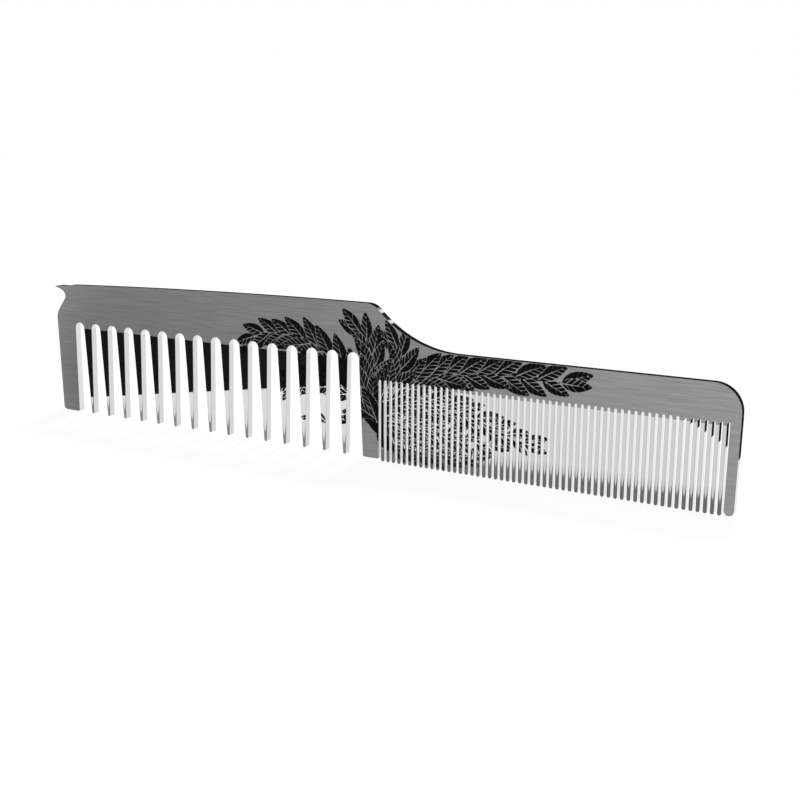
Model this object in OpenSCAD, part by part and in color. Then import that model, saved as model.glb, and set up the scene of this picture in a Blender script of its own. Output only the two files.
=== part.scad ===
// Flat steel beard comb: coarse teeth under a deep back at one end, fine
// teeth under a shallow back at the other, and a small hook at the coarse end.
// The comb stands on its tooth tips. X runs along it, from the hook to the
// rounded end, Y is its thickness and Z is up. The origin is under its middle.

/* [Plate] */
// Thickness of the steel plate
plate_t = 1.7; // [1.2:0.1:2.4]
// Height of the deep back over the tooth tips
deep_h = 35.7; // [34:0.1:38]
// Height of the shallow back over the tooth tips
shallow_h = 26.2; // [25:0.1:28]
// How far the deep back falls from the shoulder to the hook
back_drop = 1.75; // [0.6:0.05:2.4]
// Radius of the corner at the fine end
corner_r = 5.7; // [3:0.1:7]

/* [Shoulder] */
// Radius of the rounded crest where the deep back ends
crest_r = 4.5; // [1:0.5:5]
// Radius of the hollow slope between the two backs
slope_r = 28; // [22:1:34]
// From the first fine slot to where the slope meets the shallow back
slope_foot = 19.4; // [17:0.2:22]

/* [Coarse teeth] */
// Number of coarse teeth
coarse_teeth = 15; // [12:1:16]
// Distance between coarse teeth
coarse_pitch = 5.6; // [5:0.1:6.4]
// Width of a coarse slot at its top
coarse_gap = 3; // [2.4:0.02:3.4]
// Height of the line where the coarse teeth begin
coarse_root_z = 22.85; // [21:0.05:24]
// Width of a coarse tooth at its tip
coarse_tip_w = 0.74; // [0.5:0.02:1.2]
// How far a coarse tooth's tip leans towards the fine end
coarse_lean = 0.31; // [0:0.01:0.6]

/* [Fine teeth] */
// Number of fine teeth
fine_teeth = 55; // [40:5:60]
// Distance between fine teeth
fine_pitch = 1.408; // [1.3:0.002:1.6]
// Width of a fine slot
fine_gap = 0.6; // [0.6:0.02:0.9]
// Height of the line where the fine teeth begin
fine_root_z = 18.45; // [16:0.05:20]

/* [Ends and divider] */
// From the hook's tip to the middle of the first coarse slot
hook_span = 8.11; // [7.6:0.01:10]
// From the middle of the last coarse slot to that of the first fine slot
divider_span = 7.01; // [6:0.01:9]
// From the middle of the last fine slot to the rounded end
end_span = 2.4; // [2:0.05:4]
// How far the hook guard and the divider stop above the tips
guard_lift = 0.5; // [0:0.1:1.5]
// Radius of the hook guard's outer bottom corner
guard_r = 1.1; // [0.4:0.1:1.6]
// How far the round guard's tip stops above the tooth tips
round_guard_lift = 0.2; // [0:0.1:1]
// How far the round guard's inner side leans towards the teeth
round_guard_lean = 0.16; // [0:0.01:0.2]
// How far its outer side leans the same way
round_guard_taper = 0.26; // [0:0.01:0.5]
// How far the coarse teeth's tips stop above the fine teeth's
coarse_lift = 0.4; // [0:0.1:1]
// How much the divider narrows towards its end
divider_taper = 1.0; // [0.4:0.1:1.6]

/* [Hidden] */
curve_steps = 14;       // straight steps in each curve of the outline
fine_per_node = 5;      // fine teeth that share one node
circle_steps = 48;      // any value above 12 gives a true circle
reach = 60;             // larger than any height, for cutting shapes
satin = "#8a8a8a";
polished = "#dcdcdc";

slot_r = coarse_gap / 2;
fine_slot_r = fine_gap / 2;
comb_length = hook_span + coarse_teeth * coarse_pitch + divider_span
    + fine_teeth * fine_pitch + end_span;
hook_x = -comb_length / 2;
end_x = comb_length / 2;
first_slot_x = hook_x + hook_span;
first_fine_x = first_slot_x + coarse_teeth * coarse_pitch + divider_span;
coarse_x0 = first_slot_x - slot_r;          // where the back plate begins
fine_x0 = first_fine_x - fine_slot_r;       // the divider's fine side
slope_x = first_fine_x + slope_foot;
round_guard_x = first_fine_x + fine_teeth * fine_pitch + fine_slot_r;

// The crest is tangent to the deep back and to the slope's circle
crest_dz = shallow_h + slope_r - deep_h + crest_r;
crest_x = slope_x - sqrt(pow(crest_r + slope_r, 2) - pow(crest_dz, 2));
crest_angle = acos((slope_x - crest_x) / (crest_r + slope_r));

// Shapes of the hook, measured from its tip and from the tooth tips, scaled
// in height with the deep back's hook end
hook_z = deep_h - back_drop;
lip_under = [[0.11, -0.78], [1.96, -1.25], [3.5, -1.58], [3.5, -3.09]];
notch_side = [[3.5, -3.09], [3.5, -4.05], [0.04, -6.75], [0.2, -8.81]];
lip_top = [[0.08, -0.56], [2.07, -0.12], [3.19, -0.66], [5.88, 0]];
lip_point = [0, -0.68];
notch_z = hook_z + notch_side[0][1];
guard_foot = 0.86;      // how far in from the hook's tip the guard's foot is
guard_flare = 0.2;      // how far the guard's inner side leans out at its foot

// One point of a cubic curve through a list of four control points
function curve_point(p, t) = pow(1 - t, 3) * p[0] + 3 * t * pow(1 - t, 2) * p[1]
    + 3 * t * t * (1 - t) * p[2] + pow(t, 3) * p[3];
function curve(p) = [for (i = [0:curve_steps]) curve_point(p, i / curve_steps)];
function at_hook(points) = [for (p = points) [hook_x + p[0], hook_z + p[1]]];
function arc(cx, cz, r, a0, a1) = [for (i = [0:curve_steps])
    let (a = a0 + (a1 - a0) * i / curve_steps) [cx + r * cos(a), cz + r * sin(a)]];
function reversed(list) = [for (i = [len(list) - 1:-1:0]) list[i]];

// The deep back is a shallow parabola, level at the crest
hook_join_x = hook_x + lip_top[3][0];
function back_z(x) = deep_h - back_drop * pow((crest_x - x) / (crest_x - hook_join_x), 2);
deep_back = [for (i = [1:curve_steps])
    let (x = hook_join_x + (crest_x - hook_join_x) * i / curve_steps) [x, back_z(x)]];

outline = concat(
    arc(hook_x + guard_foot + guard_r, guard_lift + guard_r, guard_r, 270, 180),
    at_hook(reversed(curve(notch_side))),
    at_hook(reversed(curve(lip_under))),
    at_hook([lip_point]),
    at_hook(curve(lip_top)),
    deep_back,
    arc(crest_x, deep_h - crest_r, crest_r, 90, crest_angle),
    arc(slope_x, shallow_h + slope_r, slope_r, 180 + crest_angle, 270),
    arc(end_x - corner_r, shallow_h - corner_r, corner_r, 90, 0),
    [[end_x, guard_lift]]);

function two_digits(i) = str(i < 10 ? "0" : "", i);
function coarse_name(i) = str("coarse_tooth_", two_digits(i));
function fine_name(g) = str("fine_teeth_", two_digits(g));
fine_nodes = ceil(fine_teeth / fine_per_node);

function coarse_slot_x(i) = first_slot_x + i * coarse_pitch;
function fine_slot_x(i) = first_fine_x + i * fine_pitch;

// Stands a flat shape up on edge as steel of the plate's thickness
module plate() {
    rotate([90, 0, 0]) translate([0, 0, -plate_t / 2]) linear_extrude(plate_t) children();
}

// The part of the comb's outline between two places along it and above a height
module outline_part(x0, x1, z0, z1 = reach) {
    intersection() {
        polygon(outline);
        translate([x0, z0]) square([x1 - x0, z1 - z0]);
    }
}

module coarse_slot_tops() {
    for (i = [0:coarse_teeth])
        translate([coarse_slot_x(i), coarse_root_z]) circle(r = slot_r, $fn = circle_steps);
}

module fine_slot_tops(first, last) {
    for (i = [first:last])
        translate([fine_slot_x(i), fine_root_z]) circle(r = fine_slot_r, $fn = circle_steps);
}

// The slope ends over the middle of this fine tooth, so that no slot is split
slope_tooth = ceil(slope_foot / fine_pitch);
shallow_x0 = first_fine_x + (slope_tooth - 0.5) * fine_pitch;

// Hook at the corner of the coarse end, above the notch
module hook_lip() {
    color(satin) plate() outline_part(hook_x - 1, coarse_x0, notch_z);
}

// Wide outer tooth under the hook
module hook_guard() {
    color(satin) plate() difference() {
        outline_part(hook_x - 1, coarse_x0, guard_lift, notch_z);
        polygon([[coarse_x0, coarse_root_z], [coarse_x0, 0], [coarse_x0 - guard_flare, 0]]);
    }
}

// Deep back over the coarse teeth
module deep_back() {
    color(satin) plate() difference() {
        outline_part(coarse_x0, fine_x0, coarse_root_z);
        coarse_slot_tops();
    }
}

// Hollow slope from the deep back to the shallow one
module shoulder() {
    color(satin) plate() difference() {
        outline_part(fine_x0, shallow_x0, fine_root_z);
        fine_slot_tops(0, slope_tooth - 1);
    }
}

// Shallow back over the fine teeth
module shallow_back() {
    color(satin) plate() difference() {
        outline_part(shallow_x0, end_x + 1, fine_root_z);
        fine_slot_tops(slope_tooth, fine_teeth);
    }
}

// Wide flat tooth between the coarse and the fine teeth
module divider() {
    x0 = coarse_slot_x(coarse_teeth) + slot_r;
    color(satin) plate() polygon([[x0, coarse_root_z], [x0 + divider_taper, guard_lift],
        [fine_x0, guard_lift], [fine_x0, coarse_root_z]]);
}

// Narrow outer tooth with a round tip, under the rounded corner
module round_guard() {
    foot_x = round_guard_x - round_guard_lean;
    foot_w = end_x - round_guard_taper - foot_x;
    tip_z = round_guard_lift + foot_w / 2;
    color(satin) plate() {
        polygon([[round_guard_x, fine_root_z], [foot_x, tip_z],
            [foot_x + foot_w, tip_z], [end_x, fine_root_z]]);
        translate([foot_x + foot_w / 2, tip_z]) circle(r = foot_w / 2, $fn = circle_steps);
    }
}

// Tapered tooth number i, leaning slightly towards the fine end
module coarse_tooth(i) {
    x0 = coarse_slot_x(i - 1) + slot_r;
    x1 = coarse_slot_x(i) - slot_r;
    tip_x = (x0 + x1) / 2 + coarse_lean;
    tip_r = coarse_tip_w / 2;
    tip_z = coarse_lift + tip_r;
    color(polished) plate() {
        polygon([[x0, coarse_root_z], [tip_x - tip_r, tip_z],
            [tip_x + tip_r, tip_z], [x1, coarse_root_z]]);
        translate([tip_x, tip_z]) circle(r = tip_r, $fn = circle_steps);
    }
}

// Straight round-tipped teeth, the group numbered g from the divider
module fine_tooth_group(g) {
    w = fine_pitch - fine_gap;
    color(polished) plate()
        for (i = [(g - 1) * fine_per_node:min(g * fine_per_node, fine_teeth) - 1])
            translate([fine_slot_x(i) + fine_slot_r, 0]) {
                translate([0, w / 2]) square([w, fine_root_z - w / 2]);
                translate([w / 2, w / 2]) circle(r = w / 2, $fn = circle_steps);
            }
}

hook_lip();
hook_guard();
deep_back();
shoulder();
shallow_back();
divider();
round_guard();
for (i = [1:coarse_teeth]) coarse_tooth(i);
for (g = [1:fine_nodes]) fine_tooth_group(g);
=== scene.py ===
import math

import bpy
import numpy as np
from mathutils import Matrix, Vector
from mathutils.geometry import delaunay_2d_cdt


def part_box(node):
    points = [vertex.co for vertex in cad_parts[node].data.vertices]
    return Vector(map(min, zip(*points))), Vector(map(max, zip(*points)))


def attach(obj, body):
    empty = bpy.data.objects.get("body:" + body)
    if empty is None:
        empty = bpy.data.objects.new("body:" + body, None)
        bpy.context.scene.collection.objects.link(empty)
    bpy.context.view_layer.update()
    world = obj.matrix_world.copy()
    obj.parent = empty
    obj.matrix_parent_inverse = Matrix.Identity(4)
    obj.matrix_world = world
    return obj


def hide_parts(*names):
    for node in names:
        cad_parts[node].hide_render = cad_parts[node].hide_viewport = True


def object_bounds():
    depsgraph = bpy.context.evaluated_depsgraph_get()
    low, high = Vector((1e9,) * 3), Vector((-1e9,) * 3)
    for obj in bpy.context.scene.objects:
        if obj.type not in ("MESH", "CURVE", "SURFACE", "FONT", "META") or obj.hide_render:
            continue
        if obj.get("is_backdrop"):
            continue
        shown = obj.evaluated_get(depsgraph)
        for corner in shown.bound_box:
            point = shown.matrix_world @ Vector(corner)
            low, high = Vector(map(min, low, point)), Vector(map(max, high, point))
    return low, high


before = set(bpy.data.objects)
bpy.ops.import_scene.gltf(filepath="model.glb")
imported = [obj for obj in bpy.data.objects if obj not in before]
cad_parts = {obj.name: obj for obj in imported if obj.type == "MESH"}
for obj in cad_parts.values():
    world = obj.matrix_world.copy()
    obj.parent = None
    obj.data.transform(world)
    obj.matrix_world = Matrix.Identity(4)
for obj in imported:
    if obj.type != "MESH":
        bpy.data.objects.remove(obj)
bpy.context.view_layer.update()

mm = 0.001


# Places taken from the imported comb, in millimetres

def boxOf(node):
    # The low and the high corner of a node's box
    low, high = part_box(node)
    return np.array(low) / mm, np.array(high) / mm


coarseTeeth = sorted(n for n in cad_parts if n.startswith("coarse_tooth_"))
fineGroups = sorted(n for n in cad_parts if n.startswith("fine_teeth_"))
plateNodes = sorted(set(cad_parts) - set(coarseTeeth) - set(fineGroups))

backLow, backHigh = boxOf("deep_back")
shallowHigh = boxOf("shallow_back")[1]
footLift = boxOf("hook_guard")[0][2]                 # height of the flat feet
roundFoot = boxOf("round_guard")[0][2]
toothLow, toothHigh = boxOf(coarseTeeth[0])
fineLow, fineHigh = boxOf(fineGroups[0])

coarsePitch = boxOf(coarseTeeth[1])[0][0] - toothLow[0]
coarseRadius = (toothLow[0] - backLow[0]) / 2        # of a coarse slot's round top
coarseRoot = toothHigh[2]
coarseTip = toothLow[2]
firstCoarse = backLow[0] + coarseRadius              # middle of the first coarse slot
finePerGroup = 5
finePitch = (boxOf(fineGroups[1])[0][0] - fineLow[0]) / finePerGroup
fineRadius = (fineLow[0] - backHigh[0]) / 2
fineRoot = fineHigh[2]
fineCount = finePerGroup * len(fineGroups)
firstFine = backHigh[0] + fineRadius                 # middle of the first fine slot
hookX = boxOf("hook_lip")[0][0]
endX = shallowHigh[0]
halfThick = backHigh[1]

# What a user would change about the plate's edge, all in millimetres. The curves are the CAD outline's own.
plateLook = {
    "faceRecess": 0.01,          # the steel lies this far under the CAD face, so that the ink ends on it
    "rimRound": 0.02,            # rounding of the outer rim
    "coarseRound": 0.035,        # rounding along the coarse slots
    "fineRound": 0.03,           # rounding along the fine slots
    "lipRound": 0.12,            # rounding near the hook's point
    "pointRound": 0.08,          # and at the point
    "cornerRound": 0.3,          # rounding of the two flat feet's corners
    "backDrop": 1.75,            # fall of the deep back from its crest to the hook
    "crestRadius": 4.5,          # the round at the deep back's right end
    "slopeRadius": 28.0,         # the hollow from there down to the shallow back
    "slopeFoot": 19.4,           # where it ends, right of the first fine slot's middle
    "cornerRadius": 5.7,         # upper right corner
    "guardCorner": 1.1,          # outer corner of the hook guard's foot
    "guardFoot": 0.86,           # that foot's outer side, right of the hook's point
    "guardFlare": 0.2,           # lean of its inner side from the slot's root down to the ground
    "dividerTaper": 1.0,         # lean of the divider's left side
    "roundLean": 0.16,           # lean of the round guard's inner side
    "roundTaper": 0.26,          # and of its outer side, both down to its tip's round
    "lipTop": [[0.08, -0.56], [2.07, -0.12], [3.19, -0.66], [5.88, 0.0]],
    "lipPoint": [0.0, -0.68],
    "lipUnder": [[0.11, -0.78], [1.96, -1.25], [3.5, -1.58], [3.5, -3.09]],
    "notchSide": [[3.5, -3.09], [3.5, -4.05], [0.04, -6.75], [0.2, -8.81]],
}

# The polished teeth, in millimetres
toothLook = {
    "coarseLean": 0.31,          # how far a tip stands right of the middle of its root
    "coarseTipRadius": 0.37,
    "coarseTipRound": 0.08,      # the rounding grows to this at the tip
    "coarseGrindFrom": 6.0,      # height below which it grows
    "finePolish": 17.98,         # height where the fine teeth's polish ends
    "fineTipRound": 0.08,
    "fineGrindFrom": 4.2,
}


# The outline is made of stretches that follow one another round the comb, with the steel on their left

def straight(start, end, steps, edge):
    # A straight run: start + (end - start) * t
    t = np.linspace(0, 1, steps + 1)[:, None]
    start, end = np.array(start, float), np.array(end, float)
    points = start + (end - start) * t
    along = (end - start) / np.linalg.norm(end - start)
    out = np.tile([along[1], -along[0]], (steps + 1, 1))
    return points, out, np.linspace(edge[0], edge[1], steps + 1)


def bow(centre, radius, fromDeg, toDeg, steps, edge):
    # A circular run: centre + radius * (cos a, sin a), hollow where the angle falls
    a = np.radians(np.linspace(fromDeg, toDeg, steps + 1))
    ray = np.stack([np.cos(a), np.sin(a)], 1)
    points = np.array(centre) + radius * ray
    return points, ray * np.sign(toDeg - fromDeg), np.linspace(edge[0], edge[1], steps + 1)


def cubicPoint(controls, t):
    # Point and direction at t on a cubic: the four controls weighted by (1-t)^3, 3t(1-t)^2, 3t^2(1-t) and t^3
    p = np.array(controls, float)
    t = np.asarray(t, float)[..., None]
    at = (1 - t) ** 3 * p[0] + 3 * t * (1 - t) ** 2 * p[1] + 3 * t * t * (1 - t) * p[2] + t ** 3 * p[3]
    along = (1 - t) ** 2 * (p[1] - p[0]) + 2 * t * (1 - t) * (p[2] - p[1]) + t * t * (p[3] - p[2])
    return at, along / np.linalg.norm(along, axis=-1)[..., None]


def cubic(controls, steps, edge):
    # A cubic run, its side a quarter turn from its direction
    points, along = cubicPoint(controls, np.linspace(0, 1, steps + 1))
    return points, np.stack([along[:, 1], -along[:, 0]], 1), np.linspace(edge[0], edge[1], steps + 1)


def footCorner(corner, turnFrom, turnTo, radius, edge):
    # A small quarter round inside a foot's square corner. The right corner's ends at 360 degrees
    inward = -1 if turnTo == 360 else 1
    centre = np.array(corner) + radius * np.array([inward, 1])
    return bow(centre, radius, turnFrom, turnTo, 5, (edge, edge))


rim = plateLook["rimRound"]
coarseEdge = plateLook["coarseRound"]
fineEdge = plateLook["fineRound"]
fineWide = finePitch - 2 * fineRadius
hookZ = backHigh[2] - plateLook["backDrop"]
joinX = hookX + plateLook["lipTop"][3][0]
slopeX = firstFine + plateLook["slopeFoot"]
crestRise = shallowHigh[2] + plateLook["slopeRadius"] - backHigh[2] + plateLook["crestRadius"]
bothRadii = plateLook["crestRadius"] + plateLook["slopeRadius"]
crestX = slopeX - math.sqrt(bothRadii ** 2 - crestRise ** 2)
crestDeg = math.degrees(math.acos((slopeX - crestX) / bothRadii))
polishZ = toothLook["finePolish"]


def backHeight(x):
    # The deep back is a parabola, level at the crest
    return backHigh[2] - plateLook["backDrop"] * ((crestX - x) / (crestX - joinX)) ** 2


def deepBackRun(steps, edge):
    # Along that parabola, each side square to its slope
    x = np.linspace(crestX, joinX, steps + 1)
    slope = 2 * plateLook["backDrop"] * (crestX - x) / (crestX - joinX) ** 2
    out = np.stack([-slope, np.ones_like(x)], 1)
    out /= np.linalg.norm(out, axis=1)[:, None]
    return np.stack([x, backHeight(x)], 1), out, np.full(steps + 1, edge)


def atHook(points):
    # From places measured at the hook's point
    return [[hookX + x, hookZ + z] for x, z in points]


def coarseToothRuns(i):
    # Down the hook side, round the tip and up again; more points where the tip is ground
    x0 = firstCoarse + (i - 1) * coarsePitch + coarseRadius
    x1 = x0 + coarsePitch - 2 * coarseRadius
    tipX = (x0 + x1) / 2 + toothLook["coarseLean"]
    r = toothLook["coarseTipRadius"]
    tipZ = coarseTip + r
    grindZ = toothLook["coarseGrindFrom"]
    share = (coarseRoot - grindZ) / (coarseRoot - tipZ)
    mid0 = [x0 + (tipX - r - x0) * share, grindZ]
    mid1 = [x1 + (tipX + r - x1) * share, grindZ]
    tipEdge = toothLook["coarseTipRound"]
    return [
        straight([x0, coarseRoot], mid0, 4, (coarseEdge, coarseEdge)),
        straight(mid0, [tipX - r, tipZ], 8, (coarseEdge, tipEdge)),
        bow([tipX, tipZ], r, 180, 360, 12, (tipEdge, tipEdge)),
        straight([tipX + r, tipZ], mid1, 8, (tipEdge, coarseEdge)),
        straight(mid1, [x1, coarseRoot], 4, (coarseEdge, coarseEdge)),
    ]


def fineToothRuns(j):
    # Down a straight side, round the tip and up again, where the tooth is polished
    x0 = firstFine + j * finePitch + fineRadius
    x1 = x0 + fineWide
    r = fineWide / 2
    grindZ = toothLook["fineGrindFrom"]
    tipEdge = toothLook["fineTipRound"]
    return [
        straight([x0, polishZ], [x0, grindZ], 3, (fineEdge, fineEdge)),
        straight([x0, grindZ], [x0, r], 6, (fineEdge, tipEdge)),
        bow([x0 + r, r], r, 180, 360, 8, (tipEdge, tipEdge)),
        straight([x1, r], [x1, grindZ], 6, (tipEdge, fineEdge)),
        straight([x1, grindZ], [x1, polishZ], 3, (fineEdge, fineEdge)),
    ]


def outlineRuns():
    look, runs = plateLook, []

    def add(owner, *some):
        runs.extend((run, owner) for run in some)

    corner = look["cornerRound"]
    guardInner = backLow[0] - look["guardFlare"] * (coarseRoot - footLift) / coarseRoot
    outerFoot, outerCorner = hookX + look["guardFoot"], look["guardCorner"]
    lift = footLift + corner
    add("plate",
        bow([outerFoot + outerCorner, footLift + outerCorner], outerCorner, 180, 270, 10, (rim, rim)),
        straight([outerFoot + outerCorner, footLift], [guardInner - corner, footLift], 2, (rim, rim)),
        footCorner([guardInner, footLift], 270, 360, corner, rim),
        straight([guardInner, lift], [backLow[0], coarseRoot], 6, (rim, coarseEdge)))
    for i in range(len(coarseTeeth) + 1):
        add("plate", bow([firstCoarse + i * coarsePitch, coarseRoot], coarseRadius, 180, 0, 20,
                         (coarseEdge, coarseEdge)))
        if i < len(coarseTeeth):
            add(coarseTeeth[i], *coarseToothRuns(i + 1))
    sideX = firstCoarse + len(coarseTeeth) * coarsePitch + coarseRadius
    footX = sideX + look["dividerTaper"]
    add("plate",
        straight([sideX, coarseRoot], [footX, lift], 6, (coarseEdge, rim)),
        footCorner([footX, footLift], 180, 270, corner, rim),
        straight([footX + corner, footLift], [backHigh[0] - corner, footLift], 2, (rim, rim)),
        footCorner([backHigh[0], footLift], 270, 360, corner, rim),
        straight([backHigh[0], lift], [backHigh[0], fineRoot], 6, (rim, fineEdge)))
    for j in range(fineCount + 1):
        x = firstFine + j * finePitch
        add("plate", bow([x, fineRoot], fineRadius, 180, 0, 10, (fineEdge, fineEdge)))
        if j < fineCount:
            x0, x1 = x + fineRadius, x + fineRadius + fineWide
            add("plate", straight([x0, fineRoot], [x0, polishZ], 1, (fineEdge, fineEdge)))
            add("fine_%02d" % (j + 1), *fineToothRuns(j))
            add("plate", straight([x1, polishZ], [x1, fineRoot], 1, (fineEdge, fineEdge)))
    innerX = firstFine + fineCount * finePitch + fineRadius
    footX = innerX - look["roundLean"]
    footR = (endX - look["roundTaper"] - footX) / 2
    tipZ = roundFoot + footR
    shallowTop, crest, cornerR = shallowHigh[2], look["crestRadius"], look["cornerRadius"]
    top, under, notch = atHook(look["lipTop"]), atHook(look["lipUnder"]), atHook(look["notchSide"])
    point = atHook([look["lipPoint"]])[0]
    lip = look["lipRound"]
    add("plate",
        straight([innerX, fineRoot], [footX, tipZ], 6, (fineEdge, rim)),
        bow([footX + footR, tipZ], footR, 180, 360, 20, (rim, rim)),
        straight([footX + 2 * footR, tipZ], [endX, fineRoot], 4, (rim, rim)),
        straight([endX, fineRoot], [endX, shallowTop - cornerR], 2, (rim, rim)),
        bow([endX - cornerR, shallowTop - cornerR], cornerR, 0, 90, 24, (rim, rim)),
        straight([endX - cornerR, shallowTop], [slopeX, shallowTop], 6, (rim, rim)),
        bow([slopeX, shallowTop + look["slopeRadius"]], look["slopeRadius"], 270, 180 + crestDeg, 28,
            (rim, rim)),
        bow([crestX, backHigh[2] - crest], crest, crestDeg, 90, 12, (rim, rim)),
        deepBackRun(24, rim),
        cubic(top[::-1], 16, (rim, lip)),
        straight(top[0], point, 1, (lip, look["pointRound"])),
        straight(point, under[0], 1, (look["pointRound"], lip)),
        cubic(under, 18, (lip, rim)),
        cubic(notch, 18, (rim, rim)),
        straight(notch[3], [outerFoot, footLift + outerCorner], 6, (rim, rim)))
    return runs


def joinRuns(runs):
    # Points shared by two runs are kept once. Where sides a and b meet, the inset is (a + b) / (1 + a.b)
    points, insets, edges, owners, spans, at = [], [], [], [], [], 0
    for k, ((p, out, edge), owner) in enumerate(runs):
        nextOut = runs[(k + 1) % len(runs)][0][1][0]
        side = out.copy()
        side[-1] = (out[-1] + nextOut) / (1 + out[-1] @ nextOut)
        points.append(p[1:])
        insets.append(side[1:])
        edges.append(edge[1:])
        spans.append((at - 1, at + len(p) - 2))
        owners.append(owner)
        at += len(p) - 1
    return np.concatenate(points), np.concatenate(insets), np.concatenate(edges), owners, spans


ringPoints, ringSides, ringEdges, ringOwners, ringSpans = joinRuns(outlineRuns())


def pathsOf(owner):
    # The unbroken stretches of the ring that one piece owns, as lists of point numbers
    paths = []
    for k, name in enumerate(ringOwners):
        if name != owner:
            continue
        first, last = ringSpans[k]
        if paths and paths[-1][-1] == first % len(ringPoints):
            paths[-1] = np.concatenate([paths[-1], np.arange(first + 1, last + 1) % len(ringPoints)])
        else:
            paths.append(np.arange(first, last + 1) % len(ringPoints))
    return paths


def edgeProfile(steps):
    # A quarter round, the wall and a quarter round. At the angle a, in shares of the rounding's radius,
    # the edge still has 1 - sin a to go outward, has gone 1 - cos a back and faces sin a outward
    a = np.linspace(0, math.pi / 2, steps + 1)
    inward, rise, outward = 1 - np.sin(a), 1 - np.cos(a), np.sin(a)
    return [np.concatenate([row, row[::-1]]) for row in (inward, rise, outward)]


def plateRows(path):
    # Each outline point becomes a column of points from the front face over the edge to the back face
    inward, rise, outward = edgeProfile(steps=4)
    edge = ringEdges[path][:, None]
    side = ringSides[path]
    flat = ringPoints[path][:, None, :] - side[:, None, :] * (inward * edge)[:, :, None]
    sign = np.where(np.arange(len(inward)) < len(inward) // 2, -1.0, 1.0)
    depth = sign * (halfThick - plateLook["faceRecess"] - edge * rise)
    unit = side / np.linalg.norm(side, axis=1)[:, None]
    turned = unit[:, None, :] * outward[None, :, None]
    facing = np.tile(sign * np.sqrt(1 - outward ** 2), (len(path), 1))
    return (np.stack([flat[:, :, 0], depth, flat[:, :, 1]], 2),
            np.stack([turned[:, :, 0], facing, turned[:, :, 1]], 2))


def stripFaces(count, rows, offset):
    # Quads between neighbouring columns, numbered by column and row from offset
    i, j = np.meshgrid(np.arange(count - 1), np.arange(rows - 1), indexing="ij")
    a = offset + i * rows + j
    return np.stack([a, a + 1, a + rows + 1, a + rows], -1).reshape(-1, 4)


roundingShare = 0.3              # of an edge's roundings, between 0 on the flats and 1 on the wall


def stripShares(path, rows):
    # One share for each face of the strip, by which the steel tells wall from rounding
    shares = np.full((len(path) - 1, rows - 1), roundingShare)
    shares[:, rows // 2 - 1] = 1.0
    return shares.reshape(-1)


def makeMesh(name, points, normals, faces, kinds, shares, across=None):
    # kinds says for each face: 0 front, 1 back, 2 edge, 3 hidden joint. The flat ones are shaded flat
    mesh = bpy.data.meshes.new(name)
    mesh.from_pydata((np.asarray(points) * mm).tolist(), [], [np.asarray(f).tolist() for f in faces])
    mesh.update(calc_edges=True)
    kinds = np.asarray(kinds)
    sizes = np.empty(len(mesh.polygons), np.int32)
    mesh.polygons.foreach_get("loop_total", sizes)
    corner = np.empty(len(mesh.loops), np.int32)
    mesh.loops.foreach_get("vertex_index", corner)
    flat = np.empty(len(mesh.polygons) * 3, np.float32)
    mesh.polygons.foreach_get("normal", flat)
    loopKind = np.repeat(kinds, sizes)
    flatNormal = np.repeat(flat.reshape(-1, 3), sizes, axis=0)
    loopNormal = np.where((loopKind == 2)[:, None], np.asarray(normals)[corner], flatNormal)
    mesh.polygons.foreach_set("use_smooth", np.ones(len(mesh.polygons), bool))
    mesh.normals_split_custom_set(loopNormal.tolist())
    rimMark = mesh.attributes.new("rim", "FLOAT", "FACE")
    edgeShare = np.where(kinds == 3, 1.0, 0.0)
    edgeShare[kinds == 2] = shares
    rimMark.data.foreach_set("value", edgeShare.astype(np.float32))
    if across is not None:
        mark = mesh.attributes.new("across", "FLOAT", "POINT")
        mark.data.foreach_set("value", np.asarray(across, np.float32))
    piece = bpy.data.objects.new(name, mesh)
    bpy.context.scene.collection.objects.link(piece)
    return piece


def platePiece(name, paths):
    # Edge strips along each path, a front and a back face over them all, and a flat joint between two paths
    points, normals, faces, kinds, shares, columns, at = [], [], [], [], [], [], 0
    for path in paths:
        grid, side = plateRows(path)
        count, rows = grid.shape[:2]
        points.append(grid.reshape(-1, 3))
        normals.append(side.reshape(-1, 3))
        strip = stripFaces(count, rows, at)
        faces.extend(strip)
        kinds.extend([2] * len(strip))
        shares.append(stripShares(path, rows))
        columns.append(at + np.arange(count * rows).reshape(count, rows))
        at += count * rows
    faces.append(np.concatenate([c[:, 0] for c in columns]))
    faces.append(np.concatenate([c[:, -1] for c in columns])[::-1])
    kinds += [0, 1]
    for k, column in enumerate(columns):
        nextColumn = columns[(k + 1) % len(columns)]
        faces.append(np.concatenate([column[-1][::-1], nextColumn[0]])[::-1])
        kinds.append(3)
    return makeMesh(name, np.concatenate(points), np.concatenate(normals), faces, kinds,
                    np.concatenate(shares))


def toothMesh(path, at):
    # A tooth has as many points on its two sides, so its faces are ladders of quads between them
    grid, side = plateRows(path)
    count, rows = grid.shape[:2]
    strip = stripFaces(count, rows, at)
    column = at + np.arange(count * rows).reshape(count, rows)
    half = count // 2
    left, right = column[:half], column[count - 1:count - 1 - half:-1]

    def ladder(row):
        return np.stack([left[:-1, row], left[1:, row], right[1:, row], right[:-1, row]], 1)

    tip = column[half]
    front, back = ladder(0), ladder(rows - 1)[:, ::-1]
    frontTip = [left[-1, 0], tip[0], right[-1, 0]]
    backTip = [right[-1, rows - 1], tip[rows - 1], left[-1, rows - 1]]
    joint = np.concatenate([column[-1][::-1], column[0]])
    faces = [*strip, *front, frontTip, *back, backTip, joint[::-1]]
    kinds = [2] * len(strip) + [0] * (len(front) + 1) + [1] * (len(back) + 1) + [3]
    across = np.repeat(np.sign(np.arange(count) - half), rows)
    return grid.reshape(-1, 3), side.reshape(-1, 3), faces, kinds, stripShares(path, rows), across


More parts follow.
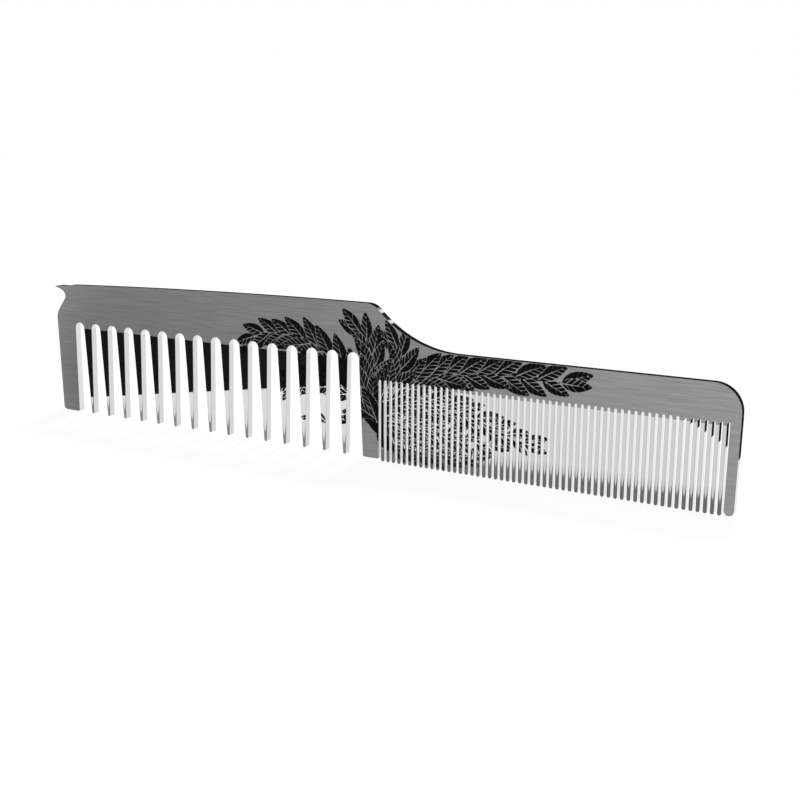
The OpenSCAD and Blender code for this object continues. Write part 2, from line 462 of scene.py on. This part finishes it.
def toothPiece(name, owners):
    # The teeth of the given owners as one mesh
    points, normals, faces, kinds, shares, across, at = [], [], [], [], [], [], 0
    for owner in owners:
        p, n, f, k, s, a = toothMesh(pathsOf(owner)[0], at)
        points.append(p)
        normals.append(n)
        shares.append(s)
        across.append(a)
        faces += f
        kinds += k
        at += len(p)
    return makeMesh(name, np.concatenate(points), np.concatenate(normals), faces, kinds,
                    np.concatenate(shares), np.concatenate(across))


plate = platePiece("comb_plate", pathsOf("plate"))
coarsePieces = [toothPiece(n + "_steel", [n]) for n in coarseTeeth]
finePieces = []
for g, node in enumerate(fineGroups):
    owners = ["fine_%02d" % (g * finePerGroup + k + 1) for k in range(finePerGroup)]
    finePieces.append(toothPiece(node + "_steel", owners))
print("plate and teeth made:", len(ringPoints), "points round the outline")


# The engraving: leafy sprays, filled with black. Sizes in mm
inkLook = {
    "depth": 0.012,              # mm of the black that is let into the steel
    "step": 0.13,                # mm between the samples of the drawing
    "clear": 0.008,              # mm kept free beside each rounded edge
    "gap": 0.1,                  # mm of bare steel round a leaf that lies over another
    "veinPitch": 1.25,           # mm between side veins
    "leafWidth": 0.21,           # half width of a leaf over its length
    "veinSlant": 1.1,            # how far a side vein runs along the leaf for each mm across it
    "veinThin": 0.04,            # half width of a bare side vein over the pitch, on the leaf's dark side
    "veinThick": 0.08,           # and how much the light side adds to it at the leaf's edge
    "ribTip": 0.02,              # half width of the bare midrib at its tip
    "ribWide": 0.1,              # and how much it gains to its foot
    "stemTip": 0.15,             # half width of the dark ground at a stem's tip
    "lengthSpread": 0.1,         # leaves differ in length by this share
    "leanSpread": 6,             # and in lean by this many degrees
    "bend": 0.12,                # how far a leaf's tip curves sideways, as a share of its length
    "endBend": 0.05,             # and the single leaf at a stem's tip
    "firstPair": 0.6,            # place of the first pair of leaves on its stem, in steps between pairs
    "pairShift": 0.04,           # share of the stem from a pair's middle to each of its leaves
    "stemDiscs": 90,             # discs that make up a stem's dark ground
    "span": (-32, 62),           # the drawing's ends along the comb
    "pieceEnds": (2.5, 26),      # where it is cut into three pieces
    "seed": 11,
}

# Each spray: four control points [x, z] of its stem, the leaves a side, the first and last leaf's length,
# how far the leaves lean in degrees, and the dark ground's half width at the foot
sprays = [
    {"stem": [[12, 6], [17, 3.6], [23, 3.4], [33, 4.4]],
     "leaves": 6, "long": (6.5, 5.0), "lean": 36, "dark": 3.2},
    {"stem": [[8, 11], [16, 9.5], [25, 9.0], [37, 7.6]],
     "leaves": 7, "long": (8.0, 5.5), "lean": 38, "dark": 3.0},
    {"stem": [[10, 15.5], [22, 16.5], [34, 13.0], [45, 9.0]],
     "leaves": 9, "long": (8.5, 5.5), "lean": 38, "dark": 3.0},
    {"stem": [[13, 17.5], [22, 22.0], [35, 24.0], [53, 22.6]],
     "leaves": 10, "long": (9.0, 6.5), "lean": 34, "dark": 2.8},
    {"stem": [[5, 13], [-1, 17.5], [-8, 18.5], [-15, 15.5]],
     "leaves": 5, "long": (8.0, 6.0), "lean": 40, "dark": 2.4},
    {"stem": [[6, 12], [2.5, 9], [-2, 7], [-8, 7.5]],
     "leaves": 3, "long": (5.0, 4.0), "lean": 40, "dark": 1.8},
    {"stem": [[4, 16], [-4, 25.0], [-14, 29.0], [-25, 25.6]],
     "leaves": 8, "long": (9.0, 6.0), "lean": 36, "dark": 2.2},
    {"stem": [[9, 12], [14, 18], [16, 22], [14, 26.5]],
     "leaves": 4, "long": (8.0, 6.5), "lean": 36, "dark": 2.2},
    {"stem": [[9.5, 8.5], [3, 13], [12, 20], [4.5, 29.0]],
     "leaves": 8, "long": (9.0, 7.0), "lean": 34, "dark": 2.2},
]


# What turns a leaf's measures into near distances: to its side, to its ends and to a slanted vein
sideFactor, endFactor, veinFactor = 0.85, 0.5, 0.65


def drawLeaf(field, gridX, gridZ, base, angle, length, bend, openSide):
    # u runs along the bent midrib, v across. The half width is wide * sin(pi * s^0.8)^0.75, s = u / length.
    # Above zero is black. The midrib and slanted side veins stay bare, and so does a gap round the leaf
    reach = length * 1.05
    cut = np.ix_(np.abs(gridX[:, 0] - base[0]) < reach, np.abs(gridZ[0] - base[1]) < reach)
    dx, dz = gridX[cut] - base[0], gridZ[cut] - base[1]
    u = dx * math.cos(angle) + dz * math.sin(angle)
    v = -dx * math.sin(angle) + dz * math.cos(angle) - bend * u * u / length
    s = np.clip(u / length, 1e-4, 1)
    wide = inkLook["leafWidth"] * length
    shape = (wide * np.sin(np.pi * s ** 0.8) ** 0.75 - np.abs(v)) * sideFactor
    shape = np.minimum(shape, np.minimum(u, length - u) * endFactor)
    rib = np.abs(v) - inkLook["ribWide"] * (1 - s) - inkLook["ribTip"]
    side = np.where(v * openSide > 0, 1.0, 0.0)
    phase = (u - inkLook["veinSlant"] * np.abs(v)) / inkLook["veinPitch"]
    thin = inkLook["veinThin"] + side * inkLook["veinThick"] * np.clip(np.abs(v) / wide + 0.15, 0, 1)
    vein = (np.abs(phase - np.floor(phase) - 0.5) - thin) * inkLook["veinPitch"] * veinFactor
    inked = np.minimum(shape, np.minimum(rib, vein))
    field[cut] = np.maximum(np.minimum(field[cut], -(shape + inkLook["gap"])), inked)


def drawStem(field, gridX, gridZ, stem, thick):
    # Discs of radius w along the stem, smaller towards its tip: the field is w - distance to the middle
    at = cubicPoint(stem, np.linspace(0, 1, inkLook["stemDiscs"]))[0]
    width = np.linspace(thick, inkLook["stemTip"], inkLook["stemDiscs"])
    for (px, pz), w in zip(at, width):
        cut = np.ix_(np.abs(gridX[:, 0] - px) < w + 1, np.abs(gridZ[0] - pz) < w + 1)
        field[cut] = np.maximum(field[cut], w - np.hypot(gridX[cut] - px, gridZ[cut] - pz))


def steelField(gridX, gridZ):
    # Distance into the flat face, which starts a rounding and a clear edge inside the outline. A point is
    # inside where an odd number of edges lies above it. A window of columns looks only at the edges near it
    window, margin = 1.5, 1.0                        # mm
    field = np.full(gridX.shape, -1.0)
    a, b = ringPoints, np.roll(ringPoints, -1, axis=0)
    room = ringEdges + inkLook["clear"]
    columns = gridX[:, 0]
    left, right = np.minimum(a[:, 0], b[:, 0]), np.maximum(a[:, 0], b[:, 0])
    for start in np.arange(columns[0], columns[-1], window):
        pick = ((columns >= start) & (columns < start + window)).nonzero()[0]
        near = (right > start - margin) & (left < start + window + margin)
        p, q, keep = a[near], b[near], room[near]
        x, z = gridX[pick][:, :, None], gridZ[pick][:, :, None]
        run = q - p
        share = np.clip(((x - p[:, 0]) * run[:, 0] + (z - p[:, 1]) * run[:, 1]) / (run ** 2).sum(1), 0, 1)
        away = np.hypot(x - p[:, 0] - share * run[:, 0], z - p[:, 1] - share * run[:, 1]) - keep
        crosses = (p[:, 0] > x) != (q[:, 0] > x)
        # An upright edge is never crossed; 1e-9 only stands in for its zero
        height = p[:, 1] + (x - p[:, 0]) * run[:, 1] / np.where(run[:, 0] == 0, 1e-9, run[:, 0])
        inside = (crosses & (height > z)).sum(2) % 2 == 1
        field[pick] = np.where(inside, away.min(2), -1.0)
    return field


def inkField():
    # Pairs are drawn from each stem's tip back to its foot, so that a leaf lies over the next one up
    step, leanSpread, lengthSpread = inkLook["step"], inkLook["leanSpread"], inkLook["lengthSpread"]
    high = backHigh[2] + 0.5                         # a little past the back
    gridX, gridZ = np.meshgrid(np.arange(*inkLook["span"], step), np.arange(0, high, step), indexing="ij")
    field = np.full(gridX.shape, -1.0)
    random = np.random.default_rng(inkLook["seed"])
    for spray in sprays:
        drawStem(field, gridX, gridZ, spray["stem"], spray["dark"])
        count = spray["leaves"]
        for k in reversed(range(count)):
            t = (k + inkLook["firstPair"]) / count
            length = spray["long"][0] + (spray["long"][1] - spray["long"][0]) * t
            for side in (-1, 1):
                at, along = cubicPoint(spray["stem"], min(1, t + inkLook["pairShift"] * side))
                lean = math.radians(spray["lean"] + random.uniform(-leanSpread, leanSpread)) * side
                angle = math.atan2(along[1], along[0]) + lean
                size = length * random.uniform(1 - lengthSpread, 1 + lengthSpread)
                drawLeaf(field, gridX, gridZ, at, angle, size, -inkLook["bend"] * side, -side)
        at, along = cubicPoint(spray["stem"], 1)
        angle = math.atan2(along[1], along[0])
        drawLeaf(field, gridX, gridZ, at, angle, spray["long"][1], inkLook["endBend"], 1)
    return gridX, gridZ, field


def outlineOf(field, x0, z0, step):
    # The line where the field is zero: a point on each crossed grid line, and edges with black on their left.
    # The point lies at here / (here - there) of the way, but at least keep from both ends
    tiny, keep = 1e-4, 0.03
    field = np.where(np.abs(field) < tiny, tiny, field)
    inside = field > 0
    nx, nz = field.shape
    corners = [(0, 0), (1, 0), (1, 1), (0, 1)]
    cell = [inside[i:nx - 1 + i, j:nz - 1 + j] for i, j in corners]
    ci, cj = np.meshgrid(np.arange(nx - 1), np.arange(nz - 1), indexing="ij")
    # Grid lines are numbered by the node they start at: 2n runs along x, 2n + 1 along z
    lines = [2 * (ci * nz + cj), 2 * ((ci + 1) * nz + cj) + 1, 2 * (ci * nz + cj + 1), 2 * (ci * nz + cj) + 1]
    starts, ends = [], []
    for k in range(4):
        # A run of black corners is entered before corner k and left after the last that follows it
        enters = cell[k] & ~cell[k - 1]
        for length in range(1, 4):
            black = enters.copy()
            for m in range(1, length):
                black &= cell[(k + m) % 4]
            black &= ~cell[(k + length) % 4]
            starts.append(lines[(k + length - 1) % 4][black])
            ends.append(lines[(k - 1) % 4][black])
    start, end = np.concatenate(starts), np.concatenate(ends)
    used, index = np.unique(np.concatenate([start, end]), return_inverse=True)
    i, j, upward = used // 2 // nz, used // 2 % nz, used % 2
    here, there = field[i, j], field[i + 1 - upward, j + upward]
    share = np.clip(here / (here - there), keep, 1 - keep)
    points = np.stack([x0 + step * (i + share * (1 - upward)), z0 + step * (j + share * upward)], 1)
    return points, np.stack(np.split(index, 2), 1)


def inkPiece(name, field, x0, z0):
    # The black area as triangles on the CAD face, the same turned over inside the steel, and a wall between
    merge = 1e-6                                     # points nearer than this are one
    points, edges = outlineOf(field, x0, z0, inkLook["step"])
    made = delaunay_2d_cdt([Vector(p) for p in points], edges.tolist(), [], 0, merge, True)
    flat, triangles, origin = np.array(made[0]), np.array(made[2]), made[3]
    newNumber = np.full(len(points), -1)
    for number, olds in enumerate(origin):
        newNumber[list(olds)] = number
    edges = newNumber[edges]
    # A triangle beside a directed edge is settled by its side, any other by the field at its middle
    count = len(flat)
    ahead = np.sort(edges[:, 0] * count + edges[:, 1])
    behind = np.sort(edges[:, 1] * count + edges[:, 0])
    sides = np.stack([triangles, np.roll(triangles, -1, axis=1)], 2)
    keys = sides[:, :, 0] * count + sides[:, :, 1]
    isIn, isOut = np.isin(keys, ahead).any(1), np.isin(keys, behind).any(1)
    middle = (flat[triangles].mean(1) - [x0, z0]) / inkLook["step"]
    i, j = middle.astype(int).T
    u, v = (middle - middle.astype(int)).T
    between = ((field[i, j] * (1 - u) + field[i + 1, j] * u) * (1 - v)
               + (field[i, j + 1] * (1 - u) + field[i + 1, j + 1] * u) * v)
    triangles = triangles[isIn | (~isOut & (between > 0))]
    front, back = -halfThick, -halfThick + inkLook["depth"]
    both = np.concatenate([np.stack([flat[:, 0], np.full(count, y), flat[:, 1]], 1) for y in (front, back)])
    walls = np.stack([edges[:, 1], edges[:, 0], edges[:, 0] + count, edges[:, 1] + count], 1)
    mesh = bpy.data.meshes.new(name)
    faces = [*triangles.tolist(), *(triangles[:, ::-1] + count).tolist(), *walls.tolist()]
    mesh.from_pydata((both * mm).tolist(), [], faces)
    mesh.update(calc_edges=True)
    piece = bpy.data.objects.new(name, mesh)
    bpy.context.scene.collection.objects.link(piece)
    return piece


drawingX, drawingZ, drawing = inkField()
drawing = np.minimum(drawing, steelField(drawingX, drawingZ))
inkPieces = []
first, second = inkLook["pieceEnds"]
for name, low, high in (("left", -math.inf, first), ("middle", first, second), ("right", second, math.inf)):
    part = np.minimum(drawing, np.minimum(drawingX - low, high - drawingX))
    inkPieces.append(inkPiece("engraving_" + name, part, drawingX[0, 0], drawingZ[0, 0]))
print("engraving made:", [len(piece.data.polygons) for piece in inkPieces], "faces")


def hexColour(code):
    # sRGB hex to linear
    parts = [int(code[i:i + 2], 16) / 255 for i in (1, 3, 5)]
    return [c / 12.92 if c <= 0.04045 else ((c + 0.055) / 1.055) ** 2.4 for c in parts] + [1.0]


def addNode(tree, kind, settings=None, inputs=None):
    # One node with its settings, socket values and links
    made = tree.nodes.new(kind)
    for key, value in (settings or {}).items():
        setattr(made, key, value)
    for key, value in (inputs or {}).items():
        if isinstance(value, bpy.types.NodeSocket):
            tree.links.new(value, made.inputs[key])
        else:
            made.inputs[key].default_value = value
    return made


def newMaterial(name):
    material = bpy.data.materials.new(name)
    material.use_nodes = True
    material.node_tree.nodes.clear()
    return material, material.node_tree


steelLook = {
    "brushed": "#b2b2b2",        # flat faces
    "brushedDeep": "#9a9a9a",    # the same, in the grooves of the grain
    "polished": "#dedede",       # rim and slot walls
    # Faces and walls of the same polished steel get different tones, painted for the lighter or darker
    # reflections each shows
    "coarseFace": "#d9d9d9",
    "coarseWall": "#d4d4d4",
    "fineFace": "#cccccc",
    "fineWall": "#e4e4e4",
    "edgeShade": "#9c9c9c",           # painted shade on the roundings between a tooth's face and walls, and on the face beside them
    "coarseEdgeShade": 0.0,       # share of that painted shade at the edges of a face
    "fineEdgeShade": 0.5,
    "coarseTip": "#868686",      # painted shade on the tips of both kinds, for the dark below them that they reflect
    "fineTip": "#6a6a6a",
    "brushedRough": 0.8,
    "brushedStretch": 0.85,      # how much more it scatters across the grain than along it
    "polishedRough": 0.03,
    "grainLong": 9.0,            # mm along one streak
    "grainWide": 0.15,           # mm across it, the finest that shows; the real grit leaves lines of 0.05
    "grainFrom": 0.45,           # the grain's noise where its tone is deepest
    "grainTo": 0.8,              # and where it is lightest
    "broadGrain": 0.25,          # weight of the broad streaks beside the fine ones
    "roughVary": 0.03,           # how far the roughness changes with the grain
    "coarseTipTop": 2.8,         # mm height of the painted tip shade on a coarse tip, mid-face
    "fineTipTop": 3.0,
    "tipHorns": 2.6,             # mm that it climbs further along the face's two edges
    "tipSoft": 0.6,              # mm of fading on either side of that height
    "tipWander": 0.15,           # mm that the height wanders
    "tipRough": 0.25,
    "cloudSize": 2.5,            # mm of the unevenness of the polish
}


def grainTexture(tree, place, longMm, wideMm, detail):
    # Noise in streaks, long on the level and narrow upwards
    stretched = addNode(tree, "ShaderNodeMapping", None, {
        "Vector": place, "Scale": (1 / (longMm * mm), 1 / (longMm * mm), 1 / (wideMm * mm))})
    return addNode(tree, "ShaderNodeTexNoise", None, {
        "Vector": stretched.outputs[0], "Scale": 1.0, "Detail": detail, "Roughness": 0.6}).outputs["Fac"]


def spread(tree, value, low, high, outLow, outHigh):
    # From the range low to high to the range outLow to outHigh, held at both ends
    return addNode(tree, "ShaderNodeMapRange", None, {
        "Value": value, "From Min": low, "From Max": high, "To Min": outLow, "To Max": outHigh}).outputs[0]


def mixColour(tree, share, a, b):
    # a where the share is 0, b where it is 1
    made = addNode(tree, "ShaderNodeMix", {"data_type": "RGBA"})
    for socket, value in ((0, share), (6, a), (7, b)):
        if isinstance(value, bpy.types.NodeSocket):
            tree.links.new(value, made.inputs[socket])
        else:
            made.inputs[socket].default_value = value
    return made.outputs[2]


def brushedSteel():
    # Stainless sheet, brushed along its length on the flat and tumbled bright at the rim and in the slots
    material, tree = newMaterial("brushed_stainless_steel")
    place = addNode(tree, "ShaderNodeTexCoord").outputs["Object"]
    fine = grainTexture(tree, place, steelLook["grainLong"], steelLook["grainWide"], 4.0)
    broad = grainTexture(tree, place, steelLook["grainLong"] * 3, steelLook["grainWide"] * 4, 2.0)
    broadShare = addNode(tree, "ShaderNodeMath", {"operation": "MULTIPLY"}, {
        0: broad, 1: steelLook["broadGrain"]}).outputs[0]
    both = addNode(tree, "ShaderNodeMath", {"operation": "ADD"}, {0: fine, 1: broadShare}).outputs[0]
    streak = spread(tree, both, steelLook["grainFrom"], steelLook["grainTo"], 0.0, 1.0)
    edgeShare = addNode(tree, "ShaderNodeAttribute", {"attribute_name": "rim"}).outputs["Fac"]
    bright = spread(tree, edgeShare, 0.4, 0.6, 0.0, 1.0)
    brushedTone = mixColour(tree, streak, hexColour(steelLook["brushedDeep"]),
                            hexColour(steelLook["brushed"]))
    tone = mixColour(tree, bright, brushedTone, hexColour(steelLook["polished"]))
    dull, shiny, vary = steelLook["brushedRough"], steelLook["polishedRough"], steelLook["roughVary"]
    rough = spread(tree, streak, 0.0, 1.0, dull + vary, dull - vary)
    edgeRough = spread(tree, broad, 0.3, 0.7, shiny, shiny + vary)
    bothRough = addNode(tree, "ShaderNodeMix", {"data_type": "FLOAT"}, {
        0: bright, 2: rough, 3: edgeRough}).outputs[0]
    stretch = spread(tree, bright, 0.0, 1.0, steelLook["brushedStretch"], 0.0)
    upward = addNode(tree, "ShaderNodeCombineXYZ", None, {"Z": 1.0}).outputs[0]
    shader = addNode(tree, "ShaderNodeBsdfPrincipled", None, {
        "Base Color": tone, "Metallic": 1.0, "Roughness": bothRough,
        "Anisotropic": stretch, "Tangent": upward})
    addNode(tree, "ShaderNodeOutputMaterial", None, {"Surface": shader.outputs[0]})
    return material


def polishedSteel(name, face, wall, tip, tipTop, edgeShadeShare):
    # Tumbled stainless steel: bright flats, painted shade along the edges, and painted shade on the tips,
    # which are also left rougher
    material, tree = newMaterial(name)
    place = addNode(tree, "ShaderNodeTexCoord").outputs["Object"]
    cloud = addNode(tree, "ShaderNodeTexNoise", None, {
        "Vector": place, "Scale": 1 / (steelLook["cloudSize"] * mm), "Detail": 3.0}).outputs["Fac"]
    height = addNode(tree, "ShaderNodeSeparateXYZ", None, {0: place}).outputs["Z"]
    across = addNode(tree, "ShaderNodeAttribute", {"attribute_name": "across"}).outputs["Fac"]
    edgeward = addNode(tree, "ShaderNodeMath", {"operation": "MULTIPLY"}, {0: across, 1: across}).outputs[0]
    # The painted tip shade ends at tipTop + tipHorns * across^2, softly and wandering a little
    climb = spread(tree, edgeward, 0.0, 1.0, 0.0, -steelLook["tipHorns"] * mm)
    drift, soft = steelLook["tipWander"], steelLook["tipSoft"]
    wander = spread(tree, cloud, 0.3, 0.7, -drift * mm, drift * mm)
    lowered = addNode(tree, "ShaderNodeMath", {"operation": "ADD"}, {0: height, 1: climb}).outputs[0]
    raised = addNode(tree, "ShaderNodeMath", {"operation": "ADD"}, {0: lowered, 1: wander}).outputs[0]
    low = addNode(tree, "ShaderNodeMapRange", {"interpolation_type": "SMOOTHSTEP"}, {
        "Value": raised, "From Min": (tipTop - soft) * mm, "From Max": (tipTop + soft) * mm,
        "To Min": 1.0, "To Max": 0.0}).outputs[0]
    edgeShare = addNode(tree, "ShaderNodeAttribute", {"attribute_name": "rim"}).outputs["Fac"]
    isWall = spread(tree, edgeShare, 0.8, 0.9, 0.0, 1.0)
    isEdgeShaded = spread(tree, edgeShare, 0.1, 0.2, 0.0, 1.0)
    offWall = spread(tree, isWall, 0.0, 1.0, 1.0, 0.0)
    # Painted shade on the tips, for the dark they reflect from below; kept off the walls
    tipShadeShare = addNode(tree, "ShaderNodeMath", {"operation": "MULTIPLY"}, {0: low, 1: offWall}).outputs[0]
    # Painted shade, greyer beside the edges, by across^8
    fourth = addNode(tree, "ShaderNodeMath", {"operation": "POWER"}, {0: edgeward, 1: 4.0}).outputs[0]
    faceTone = mixColour(tree, spread(tree, fourth, 0.0, 1.0, 0.0, edgeShadeShare), hexColour(face),
                         hexColour(steelLook["edgeShade"]))
    # Painted shade on the roundings beside the walls
    edgeShadedTone = mixColour(tree, isEdgeShaded, faceTone, hexColour(steelLook["edgeShade"]))
    cleanTone = mixColour(tree, isWall, edgeShadedTone, hexColour(wall))
    tone = mixColour(tree, tipShadeShare, cleanTone, hexColour(tip))
    rough = addNode(tree, "ShaderNodeMix", {"data_type": "FLOAT"}, {
        0: tipShadeShare, 2: spread(tree, cloud, 0.3, 0.7, 0.01, 0.04), 3: steelLook["tipRough"]}).outputs[0]
    shader = addNode(tree, "ShaderNodeBsdfPrincipled", None, {
        "Base Color": tone, "Metallic": 1.0, "Roughness": rough})
    addNode(tree, "ShaderNodeOutputMaterial", None, {"Surface": shader.outputs[0]})
    return material


def engravingBlack():
    # Matt black lacquer rubbed into the engraved lines, thin and a little uneven
    material, tree = newMaterial("black_infill_lacquer")
    place = addNode(tree, "ShaderNodeTexCoord").outputs["Object"]
    gritSize = 0.5 * mm
    grit = addNode(tree, "ShaderNodeTexNoise", None, {
        "Vector": place, "Scale": 1 / gritSize, "Detail": 4.0}).outputs["Fac"]
    tone = mixColour(tree, grit, hexColour("#020202"), hexColour("#0c0c0c"))
    rough = spread(tree, grit, 0.3, 0.7, 0.5, 0.7)
    shader = addNode(tree, "ShaderNodeBsdfPrincipled", None, {
        "Base Color": tone, "Roughness": rough, "Specular IOR Level": 0.03})
    addNode(tree, "ShaderNodeOutputMaterial", None, {"Surface": shader.outputs[0]})
    return material


brushed = brushedSteel()
polishedCoarse = polishedSteel("polished_stainless_steel_coarse", steelLook["coarseFace"],
                               steelLook["coarseWall"], steelLook["coarseTip"],
                               steelLook["coarseTipTop"], steelLook["coarseEdgeShade"])
polishedFine = polishedSteel("polished_stainless_steel_fine", steelLook["fineFace"],
                             steelLook["fineWall"], steelLook["fineTip"],
                             steelLook["fineTipTop"], steelLook["fineEdgeShade"])

plate.data.materials.append(brushed)
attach(plate, "root")
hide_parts(*plateNodes)
for pieces, nodes, steel in (
        (coarsePieces, coarseTeeth, polishedCoarse),
        (finePieces, fineGroups, polishedFine)):
    for piece, node in zip(pieces, nodes):
        piece.data.materials.append(steel)
        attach(piece, "root")
        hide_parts(node)
black = engravingBlack()
for piece in inkPieces:
    piece.data.materials.append(black)
    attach(piece, "root")
print("pieces placed")


def stageSheet(name, corners):
    # A flat sheet of the stage, from its four corners in mm
    mesh = bpy.data.meshes.new(name)
    mesh.from_pydata((np.array(corners, float) * mm).tolist(), [], [[0, 1, 2, 3]])
    sheet = bpy.data.objects.new(name, mesh)
    bpy.context.scene.collection.objects.link(sheet)
    sheet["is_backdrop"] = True
    return sheet


def grey(value):
    return (value, value, value, 1)


def whitePaper():
    # Paper lit almost to white from below, so that shadows stay faint
    material, tree = newMaterial("lit_white_paper")
    glow = addNode(tree, "ShaderNodeEmission", None, {
        "Color": grey(1), "Strength": stageLook["paperGlow"]})
    paper = addNode(tree, "ShaderNodeBsdfDiffuse", None, {"Color": grey(stageLook["paperGrey"])})
    both = addNode(tree, "ShaderNodeAddShader", None, {0: glow.outputs[0], 1: paper.outputs[0]})
    addNode(tree, "ShaderNodeOutputMaterial", None, {"Surface": both.outputs[0]})
    return material


def blackPaper():
    # Matt black card, which the steel shows as its dark parts
    material, tree = newMaterial("black_card")
    shader = addNode(tree, "ShaderNodeBsdfDiffuse", None, {"Color": grey(stageLook["cardGrey"])})
    addNode(tree, "ShaderNodeOutputMaterial", None, {"Surface": shader.outputs[0]})
    return material


def softBox():
    # White cloth before a lamp, lit evenly
    material, tree = newMaterial("lamp_diffuser_cloth")
    glow = addNode(tree, "ShaderNodeEmission", None, {
        "Color": grey(1), "Strength": stageLook["glowStrength"]})
    addNode(tree, "ShaderNodeOutputMaterial", None, {"Surface": glow.outputs[0]})
    return material


# The cards are seen only by the steel's reflections. Each is given by its two ends [x, y], its lower and its
# upper height, in mm
stageLook = {
    "floorReach": 4000.0,            # mm from the middle to each side
    "frontCard": ([-97.0, -14.0], [-39.0, -72.0], 0.0, 24.5),
    "sideCards": [([99.6, 34.0], [99.6, 180.0], 0.0, 60.0), ([98.7, 25.0], [98.7, 48.0], 0.0, 60.0)],
    "backCards": [
        ([-420.0, 180.0], [240.0, 180.0], 0.0, 120.0),
        ([-420.0, 180.0], [11.5, 180.0], 120.0, 160.0),
        ([18.0, 180.0], [33.0, 180.0], 120.0, 160.0),
        ([48.0, 180.0], [240.0, 180.0], 120.0, 160.0),
    ],
    "glowCard": ([20.0, -150.0], [170.0, -150.0], 60.0, 170.0),   # a lamp's soft box beside the camera
    "glowStrength": 3.0,
    "paperGlow": 0.87,               # light that the floor gives out by itself
    "paperGrey": 0.12,               # and the share of other light that it scatters
    "cardGrey": 0.012,
    "worldStrength": 1.0,
    "sunStrength": 1.4,
    "sunFrom": (-4.0, 23.0, 34.0),   # the direction the key light comes from
    "sunAngle": 9,                   # degrees across, for soft shadows
}
reach = stageLook["floorReach"]
floor = stageSheet("floor", [[-reach, -reach, 0], [reach, -reach, 0], [reach, reach, 0], [-reach, reach, 0]])
floor.data.materials.append(whitePaper())
blackCard = blackPaper()
litCard = softBox()
darkCards = [stageLook["frontCard"], *stageLook["sideCards"], *stageLook["backCards"]]
cards = [*((blackCard, card) for card in darkCards), (litCard, stageLook["glowCard"])]
for number, (material, (a, b, low, high)) in enumerate(cards):
    card = stageSheet("card_%d" % number, [[*a, low], [*b, low], [*b, high], [*a, high]])
    card.data.materials.append(material)
    card.visible_camera = card.visible_diffuse = card.visible_shadow = False

world = bpy.data.worlds.new("white_studio")
world.use_nodes = True
world.node_tree.nodes["Background"].inputs[0].default_value = grey(1)
world.node_tree.nodes["Background"].inputs[1].default_value = stageLook["worldStrength"]
bpy.context.scene.world = world
sun = bpy.data.objects.new("soft_key", bpy.data.lights.new("soft_key", "SUN"))
sun.data.energy = stageLook["sunStrength"]
sun.data.angle = math.radians(stageLook["sunAngle"])
sun.rotation_euler = Vector(stageLook["sunFrom"]).to_track_quat("Z", "Y").to_euler()
sun.visible_glossy = False
bpy.context.scene.collection.objects.link(sun)
bpy.context.scene.view_settings.view_transform = "Standard"

cameraLook = {
    "place": (139.74, -218.02, 70.32),   # mm
    "azimuth": 29.877,                   # degrees from -y
    "elevation": 12.526,
    "roll": 0.308,
    "lens": 52.15,                       # mm
    "shift": 0.5 / 800,                  # share of its width that the frame stands left of and above the axis
}
camera = bpy.data.objects.new("camera", bpy.data.cameras.new("camera"))
camera.data.lens = cameraLook["lens"]
camera.data.shift_x = -cameraLook["shift"]
camera.data.shift_y = cameraLook["shift"]
camera.data.clip_start = 0.01                # m
camera.data.clip_end = 20
camera.location = Vector(cameraLook["place"]) * mm
camera.rotation_euler = (Matrix.Rotation(math.radians(cameraLook["azimuth"]), 4, "Z")
                         @ Matrix.Rotation(math.radians(90 - cameraLook["elevation"]), 4, "X")
                         @ Matrix.Rotation(math.radians(cameraLook["roll"]), 4, "Z")).to_euler()
bpy.context.scene.collection.objects.link(camera)
bpy.context.scene.camera = camera
print("stage and camera set")

low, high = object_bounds()
